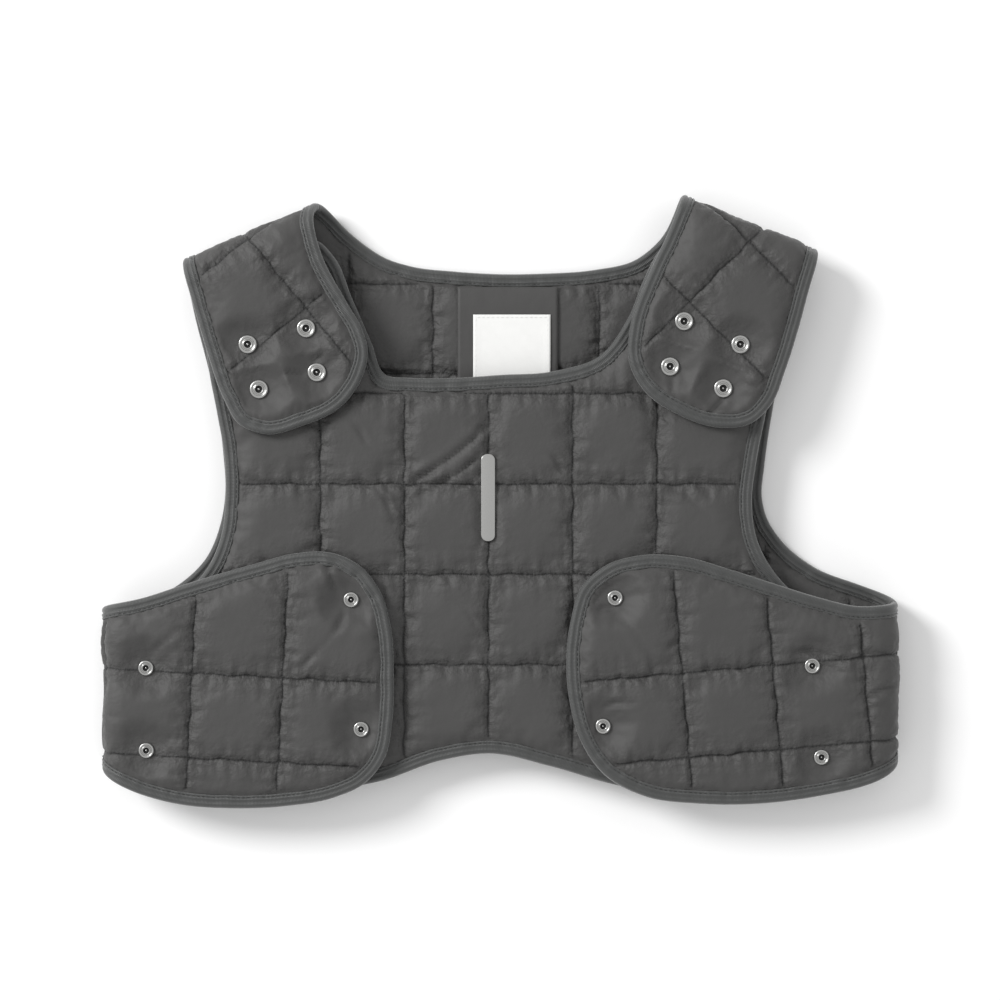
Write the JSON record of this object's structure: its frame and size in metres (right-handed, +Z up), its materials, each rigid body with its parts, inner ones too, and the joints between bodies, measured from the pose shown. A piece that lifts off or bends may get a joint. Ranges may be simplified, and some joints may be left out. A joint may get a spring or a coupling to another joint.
{
  "type": "padded vest",
  "caption": "Quilted padded vest with a bib front, side wings and shoulder tabs that wrap over it and close with snaps.",
  "frame": {"origin": "bottom centre of the vest as it lies on its back, on the surface that it rests on", "axes": "+X towards the viewer's right looking down at the front, +Y from the hem to the shoulders, +Z up out of the front"},
  "size_m": [0.5126, 0.3936, 0.0388],
  "materials": {
    "padded_fabric": "matte quilted nylon",
    "binding_tape": "matte woven tape",
    "label_cloth": "smooth white woven label",
    "metal": "satin nickel"
  },
  "bodies": {
    "root": {"back_panel": "padded_fabric", "front_panel": "padded_fabric", "left_wing": "padded_fabric", "right_wing": "padded_fabric", "left_tab": "padded_fabric", "right_tab": "padded_fabric", "neck_patch": "padded_fabric", "front_binding": "binding_tape", "back_neck_binding": "binding_tape", "back_left_armhole_binding": "binding_tape", "back_right_armhole_binding": "binding_tape", "back_hem_binding": "binding_tape", "left_wing_binding": "binding_tape", "right_wing_binding": "binding_tape", "left_tab_binding": "binding_tape", "right_tab_binding": "binding_tape", "neck_label": "label_cloth", "chest_bar": "metal", "left_wing_snap_1": "metal", "left_wing_snap_2": "metal", "left_wing_snap_3": "metal", "left_wing_snap_4": "metal", "right_wing_snap_1": "metal", "right_wing_snap_2": "metal", "right_wing_snap_3": "metal", "right_wing_snap_4": "metal", "left_tab_snap_1": "metal", "left_tab_snap_2": "metal", "left_tab_snap_3": "metal", "left_tab_snap_4": "metal", "right_tab_snap_1": "metal", "right_tab_snap_2": "metal", "right_tab_snap_3": "metal", "right_tab_snap_4": "metal"}
  },
  "joints": []
}
